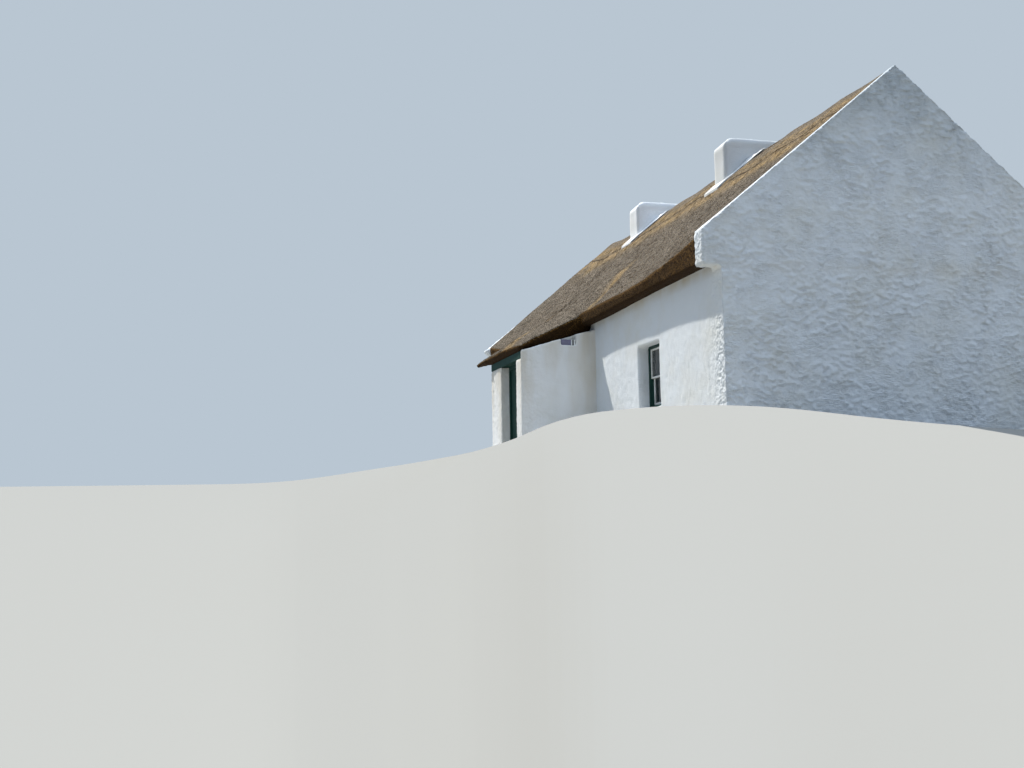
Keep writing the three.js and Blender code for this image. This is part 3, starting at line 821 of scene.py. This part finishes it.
def straw_stalks(name, coat, count, material):
    """Loose stalks lying down the slope, and short ones that fray the edges."""
    rng = random.Random(name)
    faces = coat.data.polygons
    tops = [face.index for face in faces
            if face.normal.z > STEEP and abs(face.center.y - RIDGE_LINE) > BARE_RIDGE]
    edges = [face.index for face in faces
             if -0.2 < face.normal.z <= STEEP and face.normal.y * face.center.y > 0]
    bm = bmesh.new()
    for first in range(0, count, STALKS_A_BATCH):
        batch = bmesh.new()
        for index in range(first, min(count, first + STALKS_A_BATCH)):
            fringe = index % 3 == 0
            add_stalk(batch, faces[rng.choice(edges if fringe else tops)], fringe, rng)
        bundle = mesh_of("bundle", batch)
        bm.from_mesh(bundle)
        bpy.data.meshes.remove(bundle)
    for vert in bm.verts:
        vert.co = inside_box(vert.co)
    piece = new_piece(name, bm, material)
    mark_newer_straw(piece)
    return piece


def add_stalk(bm, face, fringe, rng):
    """One three-sided stalk that starts on a face and lies down the slope from there."""
    size = sizes()
    fall = Vector((0.0, 0.0, -1.0))
    fall = (fall - face.normal * fall.dot(face.normal)).normalized()
    side = face.normal.cross(fall)
    lift = rng.uniform(0.0, 0.08) + (0.22 if fringe else 0.0)
    along = fall + side * rng.gauss(0.0, FRINGE_STRAY if fringe else STALK_STRAY) + face.normal * lift
    reach = size.straw_length * rng.uniform(0.45, 1.2) * (0.5 if fringe else 1.0)
    radius = size.straw_radius * rng.uniform(0.7, 1.3)
    foot = face.center + face.normal * rng.uniform(-0.003, 0.003) \
        + side * rng.uniform(-0.02, 0.02) + fall * rng.uniform(-0.02, 0.02)
    middle = Matrix.Translation(foot + along.normalized() * reach / 2)
    bmesh.ops.create_cone(bm, cap_ends=True, segments=3, radius1=radius, radius2=radius * 0.6,
                          depth=reach, matrix=middle @ along.to_track_quat("Z", "Y").to_matrix().to_4x4())


class COTTAGE_OT_thatch(bpy.types.Operator):
    """Straw coats on both slopes"""
    bl_idname = "cottage.thatch"
    bl_label = "Thatch"

    def execute(self, context):
        size = sizes()
        straw = thatch_material("weathered straw thatch")
        for side, cell, stalks in (("front", size.thatch_cell, size.straw_count),
                                   ("back", size.thatch_back_cell, size.straw_back_count)):
            node = "thatch_" + side
            solid = joined_copy([node])
            if side == "front":
                droop_eave(solid)
            coat = skin(node, solid, cell, 2)
            raise_surface(coat, thatch_height)
            piece = shade_smooth(new_piece("straw_coat_" + side, coat, straw))
            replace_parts(piece, node)
            mark_newer_straw(piece)
            straw_stalks("loose_straw_" + side, piece, stalks, straw)
        return {"FINISHED"}


# Joinery, floors and timbers

WINDOWS = ("near", "far", "back")
SASH_STILE = 0.032
SASH_HEAD = 0.028
SASH_FOOT = {"upper": 0.028, "lower": 0.050}
SASH_DEPTH = 0.040
SASH_ARRIS = 0.003
PANE_PLACE = 0.014
PANE_DEPTH = 0.004
PUTTY = 0.003


class COTTAGE_OT_windows(bpy.types.Operator):
    """Sash windows"""
    bl_idname = "cottage.windows"
    bl_label = "Windows"

    def execute(self, context):
        green = paint_material("dark green paint", colours().green_window, 0.55)
        white = paint_material("white gloss paint", colours().white, 0.45)
        glass = glass_material()
        for window in WINDOWS:
            finish_node(f"window_{window}_frame", green, 0.003)
            for level in ("upper", "lower"):
                self.sash(f"window_{window}_{level}", level, white, glass)
        return {"FINISHED"}

    def sash(self, name, level, white, glass):
        """Four slender bars around one pane, puttied near its outer face."""
        low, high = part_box(name + "_sash")
        left, right = low[0] + SASH_STILE, high[0] - SASH_STILE
        foot, head = low[2] + SASH_FOOT[level], high[2] - SASH_HEAD
        outer, inward = (low[1], 1.0) if low[1] < RIDGE_LINE else (high[1], -1.0)
        front, back = sorted((outer + inward * 0.004, outer + inward * SASH_DEPTH))
        bars = bmesh.new()
        for x0, x1, z0, z1 in ((low[0], left, low[2], high[2]), (right, high[0], low[2], high[2]),
                               (left - 0.001, right + 0.001, low[2], foot),
                               (left - 0.001, right + 0.001, head, high[2])):
            add_block(bars, (x0, front, z0), (x1, back, z1), SASH_ARRIS)
        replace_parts(new_piece(name + "_bars", bars, white), name + "_sash")
        pane = bmesh.new()
        near, far = sorted((outer + inward * PANE_PLACE, outer + inward * (PANE_PLACE + PANE_DEPTH)))
        add_block(pane, (left - PUTTY, near, foot - PUTTY), (right + PUTTY, far, head + PUTTY), 0.0005)
        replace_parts(new_piece(name + "_pane", pane, glass), name + "_glass")


DOOR_BOARDS = 8
BOARD_DEPTH = 0.024
LEDGE_PLACES = (0.31, 0.84, 1.36)
LEDGE_WIDTH = 0.11
LEDGE_INSET = 0.06
STRAP_PLACES = (0.35, 1.40)
STRAP_REACH = 0.42
STRAP_WIDTH = 0.034
HANDLE_PLACE = (0.10, 0.93)
HANDLE_RADIUS = 0.048
HANDLE_BAR = 0.006
# What closes the vent: piece, finish, colour, slot, and each board's start, end and setback.
VENT_PIECES = (
    ("vent_boards", "weathered grey board", "board", "old_timber",
     ((-3.010, -2.900, 0.012), (-2.896, -2.815, 0.026))),
    # The backing is painted shade: a black board set deep behind the bars darkens the slot.
    ("vent_shade_backing", "black board for painted shade", "iron", "old_timber", ((-2.815, -2.70, 0.070),)),
    ("vent_bars", "weathered white board", "white", "white_paint",
     ((-2.806, -2.784, 0.030), (-2.752, -2.728, 0.030))),
)
VENT_FOOT = 2.024
VENT_RISE = 0.105
VENT_DEPTH = 0.02


def add_block(bm, low, high, arris):
    """A block with softened arrises."""
    low, high = Vector(low), Vector(high)
    place = Matrix.Translation((low + high) / 2) @ Matrix.Diagonal((*(high - low), 1.0))
    made = bmesh.ops.create_cube(bm, size=1.0, matrix=place)
    edges = dict.fromkeys(edge for vert in made["verts"] for edge in vert.link_edges)
    bmesh.ops.bevel(bm, geom=list(edges), offset=arris, offset_type="OFFSET", affect="EDGES",
                    segments=2, profile=0.5, material=-1)


def face_rank(face):
    """A number for each face of a small mesh, from its lowest and its highest corner."""
    corners = [vert.index for vert in face.verts]
    return min(corners) * 1000 + max(corners)


class COTTAGE_OT_porch_joinery(bpy.types.Operator):
    """Porch lintel, door frame and hinges, and the boards in the vent"""
    bl_idname = "cottage.porch_joinery"
    bl_label = "Porch joinery"

    def execute(self, context):
        green = paint_material("green paint on the porch", colours().green, 0.65)
        iron = iron_material()
        finish_node("porch_lintel", green, 0.006)
        finish_node("porch_door_frame", green, 0.003)
        finish_node("porch_door_hinge_lower", iron)
        finish_node("porch_door_hinge_upper", iron)
        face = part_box("porch_wall_near")[1][0]
        for name, finish, tint, slot, boards in VENT_PIECES:
            vent = bmesh.new()
            for start, end, setback in boards:
                add_block(vent, (face - setback - VENT_DEPTH, start, VENT_FOOT),
                          (face - setback, end, VENT_FOOT + VENT_RISE), 0.002)
            new_piece(name, vent, paint_material(finish, getattr(colours(), tint), 0.8))
        return {"FINISHED"}


class COTTAGE_OT_porch_door(bpy.types.Operator):
    """Boarded porch door with its ledges, strap hinges and pull handle"""
    bl_idname = "cottage.porch_door"
    bl_label = "Porch door"

    def execute(self, context):
        green = paint_material("green paint on the door", colours().green, 0.65)
        low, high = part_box("porch_door")
        boards = bmesh.new()
        width = (high[0] - low[0]) / DOOR_BOARDS
        for index in range(DOOR_BOARDS):
            left = low[0] + index * width
            add_block(boards, (left + 0.0001, low[1], low[2]),
                      (left + width - 0.0001, low[1] + BOARD_DEPTH, high[2]), 0.004)
        for place in LEDGE_PLACES:
            foot = low[2] + place - LEDGE_WIDTH / 2
            add_block(boards, (low[0] + LEDGE_INSET, low[1] + BOARD_DEPTH - 0.001, foot),
                      (high[0] - LEDGE_INSET, high[1], foot + LEDGE_WIDTH), 0.005)
        piece = new_piece("boarded_door", boards, green, "door_leaf")
        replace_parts(piece, "porch_door")
        iron = iron_material()
        self.straps(low, high, iron)
        self.handle(low, high, iron)
        return {"FINISHED"}

    def straps(self, low, high, iron):
        straps = bmesh.new()
        for height in STRAP_PLACES:
            add_block(straps, (low[0] + 0.012, high[1] - 0.001, height - STRAP_WIDTH / 2),
                      (low[0] + STRAP_REACH, high[1] + 0.004, height + STRAP_WIDTH / 2), 0.001)
        new_piece("door_straps", straps, iron, "door_leaf")

    def handle(self, low, high, iron):
        """A round bar bent to a half ring between two small plates."""
        handle = bmesh.new()
        x = high[0] - HANDLE_PLACE[0]
        foot = Vector((x, low[1], HANDLE_PLACE[1]))
        bar = Matrix.Translation(foot + Vector((0.0, 0.0, HANDLE_RADIUS))) \
            @ Matrix.Rotation(math.radians(90.0), 4, "X")
        ring = bmesh.ops.create_circle(handle, cap_ends=True, segments=10, radius=HANDLE_BAR, matrix=bar)
        around = dict.fromkeys(part for vert in ring["verts"]
                               for part in (*vert.link_edges, *vert.link_faces))
        geometry = [*ring["verts"], *around]
        bmesh.ops.spin(handle, geom=geometry, cent=foot, axis=(1.0, 0.0, 0.0), dvec=(0.0, 0.0, 0.0),
                       angle=math.pi, steps=12, use_duplicate=False)
        bmesh.ops.recalc_face_normals(handle, faces=handle.faces)
        # The spin leaves its faces in another order each run, so they are sorted.
        handle.verts.index_update()
        handle.faces.sort(key=face_rank)
        for side in (-1, 1):
            middle = HANDLE_PLACE[1] + side * HANDLE_RADIUS
            add_block(handle, (x - 0.016, low[1] - 0.003, middle - 0.022),
                      (x + 0.016, low[1] + 0.001, middle + 0.022), 0.001)
        shade_smooth(new_piece("door_handle", handle, iron, "door_leaf"))


class COTTAGE_OT_inside(bpy.types.Operator):
    """Floors and roof couples"""
    bl_idname = "cottage.inside"
    bl_label = "Floors and roof couples"

    def execute(self, context):
        flags = flagstone_material()
        timber = timber_material()
        finish_node("house_floor", flags, 0.004)
        finish_node("porch_floor", flags, 0.004)
        for index in range(1, 5):
            finish_node(f"roof_couple_{index}", timber, 0.006)
        return {"FINISHED"}


# Stage

CAMERA_PLACE = Vector((20.585, -9.203, -0.764))
CAMERA_YAW = math.radians(14.892)
CAMERA_PITCH = math.radians(5.72)
CAMERA_ROLL = math.radians(-0.906)
CAMERA_FOCAL_PIXELS = 1100.0
PHOTO_WIDTH = 1024.0
# The brow of the floor as it shows: bearing from the camera in degrees, and distance.
BROW = ((2.0, 60.0), (6.5, 34.0), (9.0, 27.5), (11.4, 21.7), (13.7, 18.5), (15.2, 13.9), (17.6, 10.8),
        (22.0, 9.85), (26.0, 9.9), (29.6, 10.7), (34.3, 13.1), (40.0, 16.5), (52.0, 24.0))
BROW_FALL = 0.095
BROW_BLUR = (-1.6, -0.8, 0.0, 0.8, 1.6)
FLOOR_LEVEL = -0.003
FLOOR_REACH = 90.0
FLOOR_DEEPEST = 3.0
FLOOR_BEARINGS = 320
FLOOR_STEPS = 16
FLOOR_FIRST = -75.0
FLOOR_LAST = 165.0
# Lamps: name, the way their light travels, strength, width in degrees and colour.
LAMPS = (("key", (0.61, 0.293, -1.0), 5.2, 1.2, "#FFFBF4"),
         ("overhead", (-0.17, -0.02, -1.0), 1.25, 25.0, "#DCE9F8"))
BACKDROP = "#B9C6D2"
DOME = ((0.0, (0.07, 0.09, 0.12)), (1.0, (0.44, 0.55, 0.72)), (0.25, (0.18, 0.24, 0.33)))


def brow_line(bearing):
    """The measured distance to the brow, straight between the measured bearings."""
    for (before, near), (after, far) in zip(BROW, BROW[1:]):
        if bearing <= after:
            return near + (far - near) * ramp(bearing, before, after - before)
    return BROW[-1][1]


def brow_distance(bearing):
    """How far from the camera the floor stops being level, on a bearing in degrees."""
    return sum(brow_line(bearing + turn) for turn in BROW_BLUR) / len(BROW_BLUR)


def studio_floor():
    """A level floor that falls away towards the low camera, so that its brow shows as in the photo."""
    bm = bmesh.new()
    bmesh.ops.create_grid(bm, x_segments=FLOOR_BEARINGS, y_segments=FLOOR_STEPS, size=1.0)
    brow_row = 1.0 - 2.0 / FLOOR_STEPS
    for vert in bm.verts:
        bearing = FLOOR_FIRST + (vert.co.x + 1.0) / 2.0 * (FLOOR_LAST - FLOOR_FIRST)
        edge = brow_distance(bearing)
        share = (vert.co.y + 1.0) / (brow_row + 1.0)
        distance = edge * share if share < 1.001 else edge + FLOOR_REACH
        short = max(0.0, 1.0 - share)
        fall = FLOOR_DEEPEST * short * short + BROW_FALL * edge * short * (1.0 - short)
        angle = math.radians(180.0 - bearing)
        vert.co = (CAMERA_PLACE.x + distance * math.cos(angle),
                   CAMERA_PLACE.y + distance * math.sin(angle),
                   FLOOR_LEVEL - fall)
    bmesh.ops.remove_doubles(bm, verts=bm.verts, dist=0.0005)
    bm.normal_update()
    bmesh.ops.reverse_faces(bm, faces=[face for face in bm.faces if face.normal.z < 0.0])
    floor = shade_smooth(linked("stage_floor", mesh_of("stage_floor", bm)))
    floor.data.normals_split_custom_set_from_vertices([(0.0, 0.0, 1.0)] * len(floor.data.vertices))
    return floor


def studio_world():
    """A plain backdrop for the eye, and a dome of soft light that is brighter overhead."""
    world = bpy.data.worlds.new("studio")
    world.use_nodes = True
    world.node_tree.nodes.clear()
    add = partial(add_node, world.node_tree)
    toward = add("TexCoord", "Generated")
    up = add("SeparateXYZ", "Z", {"Vector": toward})
    height = add("MapRange", "Result", (up, -0.2, 1.0, 0.0, 1.0))
    dome = add("ValToRGB", "Color", {"Fac": height}, stops=DOME)
    light = add("Background", "Background", {"Color": dome, "Strength": 1.0})
    plain = add("Background", "Background", {"Color": linear(BACKDROP)})
    seen = add("LightPath", "Is Camera Ray")
    mixed = add("MixShader", "Shader", (seen, light, plain))
    add("OutputWorld", None, {"Surface": mixed})
    return world


class COTTAGE_OT_stage(bpy.types.Operator):
    """Plain floor, soft studio light and the camera"""
    bl_idname = "cottage.stage"
    bl_label = "Stage"

    def execute(self, context):
        scene = context.scene
        floor = studio_floor()
        material, add = blank_material("plain studio floor")
        add_surface(add, Base_Color=colours().stage, Roughness=0.95, Specular_IOR_Level=0.0)
        floor.data.materials.append(material)

        for name, travel, strength, width, tint in LAMPS:
            lamp = bpy.data.lights.new(name, "SUN")
            lamp.energy = strength
            lamp.angle = math.radians(width)
            lamp.color = linear(tint)
            light = linked(name, lamp)
            light.rotation_euler = Vector(travel).to_track_quat("-Z", "Y").to_euler()
        scene.world = studio_world()
        scene.view_settings.view_transform = "Standard"

        forward = Vector((-math.cos(CAMERA_YAW) * math.cos(CAMERA_PITCH),
                          math.sin(CAMERA_YAW) * math.cos(CAMERA_PITCH),
                          math.sin(CAMERA_PITCH)))
        level = forward.cross(Vector((0.0, 0.0, 1.0))).normalized()
        above = level.cross(forward)
        right = level * math.cos(CAMERA_ROLL) + above * math.sin(CAMERA_ROLL)
        up = above * math.cos(CAMERA_ROLL) - level * math.sin(CAMERA_ROLL)
        lens = bpy.data.cameras.new("photo view")
        lens.sensor_width = 36.0
        lens.lens = lens.sensor_width * CAMERA_FOCAL_PIXELS / PHOTO_WIDTH
        lens.clip_end = 500.0
        camera = linked("photo view", lens)
        turn = Matrix((right, up, -forward)).transposed().to_4x4()
        camera.matrix_world = Matrix.Translation(CAMERA_PLACE) @ turn
        scene.camera = camera
        return {"FINISHED"}


class COTTAGE_PT_panel(bpy.types.Panel):
    """Lists the pieces of the cottage"""
    bl_idname = "COTTAGE_PT_panel"
    bl_label = "Thatched cottage"
    bl_space_type = "VIEW_3D"
    bl_region_type = "UI"
    bl_category = "Cottage"

    def draw(self, context):
        for operator in OPERATORS:
            self.layout.operator(operator.bl_idname)


OPERATORS = (COTTAGE_OT_stage, COTTAGE_OT_walls, COTTAGE_OT_chimneys, COTTAGE_OT_thatch,
             COTTAGE_OT_windows, COTTAGE_OT_porch_joinery, COTTAGE_OT_porch_door, COTTAGE_OT_inside)
CLASSES = (CottageSizes, CottageColours, *OPERATORS, COTTAGE_PT_panel)


def register():
    for item in CLASSES:
        bpy.utils.register_class(item)
    bpy.types.Scene.cottage_sizes = PointerProperty(type=CottageSizes)
    bpy.types.Scene.cottage_colours = PointerProperty(type=CottageColours)


def unregister():
    del bpy.types.Scene.cottage_colours
    del bpy.types.Scene.cottage_sizes
    for item in reversed(CLASSES):
        bpy.utils.unregister_class(item)


def main():
    register()
    for operator in OPERATORS:
        group, name = operator.bl_idname.split(".")
        getattr(getattr(bpy.ops, group), name)()


if __name__ == "__main__":
    main()
